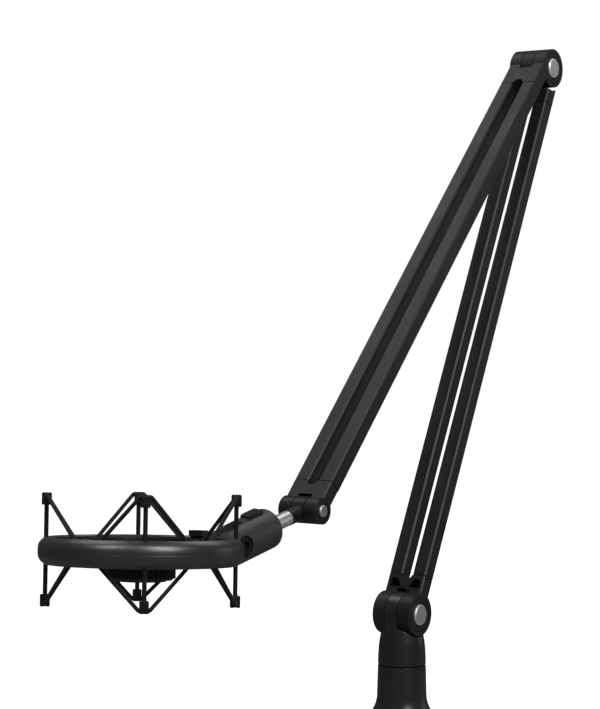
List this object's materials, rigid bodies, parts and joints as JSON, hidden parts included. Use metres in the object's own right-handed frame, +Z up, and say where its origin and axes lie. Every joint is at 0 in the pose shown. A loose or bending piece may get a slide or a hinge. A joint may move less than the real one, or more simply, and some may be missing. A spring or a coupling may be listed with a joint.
{
  "type": "microphone stand",
  "caption": "Desk-clamped two-section boom arm with slotted rails, pinned knuckles and a spider shock mount for a studio microphone.",
  "frame": {"origin": "on the swivel axis at the desk top, the underside of the clamp's rubber liner", "axes": "+Z up along the swivel axis; +X the way the boom reaches, towards the microphone; +Y along the hinge pins, out of the faces with the pin heads"},
  "size_m": [0.4737, 0.1064, 0.5518],
  "materials": {
    "powder_coat": "satin black powder coat on aluminium extrusion",
    "moulded_black": "fine-grained black moulding",
    "cast_black": "satin black enamel on cast metal",
    "silver": "turned and brushed steel",
    "zinc_steel": "zinc plated steel",
    "black_screw": "blackened steel",
    "rubber_black": "matte rubber",
    "elastic_black": "smooth elastic cord",
    "bronze": "sintered bronze"
  },
  "bodies": {
    "clamp_base": {"clamp_bracket": "cast_black", "clamp_liner": "rubber_black", "base_flange": "cast_black", "flange_screws": "zinc_steel", "swivel_bush": "bronze"},
    "clamp_pad": {"clamp_pad": "moulded_black", "clamp_pad_rubber": "rubber_black"},
    "clamp_screw": {"clamp_screw": "zinc_steel", "clamp_knob": "moulded_black"},
    "swivel": {"swivel_head": "cast_black", "swivel_shaft": "zinc_steel", "swivel_retainer": "zinc_steel", "swivel_washer": "rubber_black"},
    "lower_arm": {"lower_arm_foot_cap": "moulded_black", "lower_left_rail": "powder_coat", "lower_right_rail": "powder_coat", "lower_arm_elbow_cap": "moulded_black", "lower_rail_screws": "black_screw", "shoulder_pin": "silver", "shoulder_nut": "silver", "shoulder_bushes": "moulded_black", "shoulder_washers": "rubber_black"},
    "upper_arm": {"upper_arm_elbow_cap": "moulded_black", "upper_left_rail": "powder_coat", "upper_right_rail": "powder_coat", "upper_arm_wrist_cap": "moulded_black", "upper_rail_screws": "black_screw", "elbow_pin": "silver", "elbow_nut": "silver", "elbow_bushes": "moulded_black", "elbow_washers": "rubber_black", "wrist_pin": "silver", "wrist_nut": "silver", "wrist_bushes": "moulded_black", "wrist_washers": "rubber_black"},
    "wrist": {"wrist_stem": "moulded_black", "mic_stud": "silver"},
    "adapter": {"adapter_barrel": "moulded_black", "pivot_screw": "black_screw", "pivot_nut": "black_screw", "pivot_washers": "rubber_black"},
    "lock_slide": {"lock_slide": "moulded_black"},
    "mount_ring": {"ring_bracket": "moulded_black", "bracket_screws": "black_screw", "shock_ring": "moulded_black", "front_left_post": "moulded_black", "front_right_post": "moulded_black", "rear_left_post": "moulded_black", "rear_right_post": "moulded_black", "upper_elastic": "elastic_black", "lower_elastic": "elastic_black"},
    "cradle": {"cradle": "moulded_black", "cradle_liner": "rubber_black"},
    "nut_washer": {"nut_washer": "rubber_black"},
    "locking_nut": {"locking_nut": "moulded_black"}
  },
  "joints": [
    {"name": "base_swivel", "type": "hinge", "parent": "clamp_base", "child": "swivel", "pos_m": [0, 0, 0.0474], "axis": [0, 0, 1], "continuous": true},
    {"name": "shoulder_hinge", "type": "hinge", "parent": "swivel", "child": "lower_arm", "pos_m": [0, 0, 0.079], "axis": [0, 1, 0], "range_deg": [-45, 95]},
    {"name": "elbow_hinge", "type": "hinge", "parent": "lower_arm", "child": "upper_arm", "pos_m": [-0.16131, 0, 0.42311], "axis": [0, -1, 0], "range_deg": [-12, 113]},
    {"name": "wrist_hinge", "type": "hinge", "parent": "upper_arm", "child": "wrist", "pos_m": [0.10257, 0, 0.14961], "axis": [0, -1, 0], "range_deg": [-60, 75]},
    {"name": "adapter_roll", "type": "hinge", "parent": "wrist", "child": "adapter", "pos_m": [0.10257, 0, 0.14961], "axis": [0.9792, 0, -0.2028], "range_deg": [-170, 170]},
    {"name": "lock_slide_travel", "type": "slide", "parent": "adapter", "child": "lock_slide", "axis": [0.9792, 0, -0.2028], "range_m": [0, 0.0035]},
    {"name": "ring_tilt", "type": "hinge", "parent": "adapter", "child": "mount_ring", "pos_m": [0.1716, 0, 0.13532], "axis": [-0.0067, -0.9995, -0.0325], "range_deg": [-60, 60]},
    {"name": "cradle_bounce", "type": "slide", "parent": "mount_ring", "child": "cradle", "axis": [0, 0, 1], "range_m": [-0.004, 0.004], "stiffness_N_per_m": 1500, "deforming": ["upper_elastic", "lower_elastic"]},
    {"name": "nut_travel", "type": "slide", "parent": "cradle", "child": "nut_washer", "axis": [-0.0646, -0.032, 0.9974], "range_m": [-0.003, 0]},
    {"name": "nut_turn", "type": "hinge", "parent": "nut_washer", "child": "locking_nut", "pos_m": [0.24652, -0.00062, 0.13895], "axis": [-0.0646, -0.032, 0.9974], "range_deg": [-725, 0]},
    {"name": "clamp_travel", "type": "slide", "parent": "clamp_base", "child": "clamp_pad", "axis": [0, 0, 1], "range_m": [-0.022, 0.022]},
    {"name": "clamp_screw_turn", "type": "hinge", "parent": "clamp_pad", "child": "clamp_screw", "pos_m": [0, 0, -0.072], "axis": [0, 0, 1], "range_deg": [-3970, 3970]}
  ],
  "couplings": [
    {"joint": "nut_turn", "follows": "nut_travel", "rad_per_m": 4188.8},
    {"joint": "clamp_screw_turn", "follows": "clamp_travel", "rad_per_m": 3141.6}
  ]
}
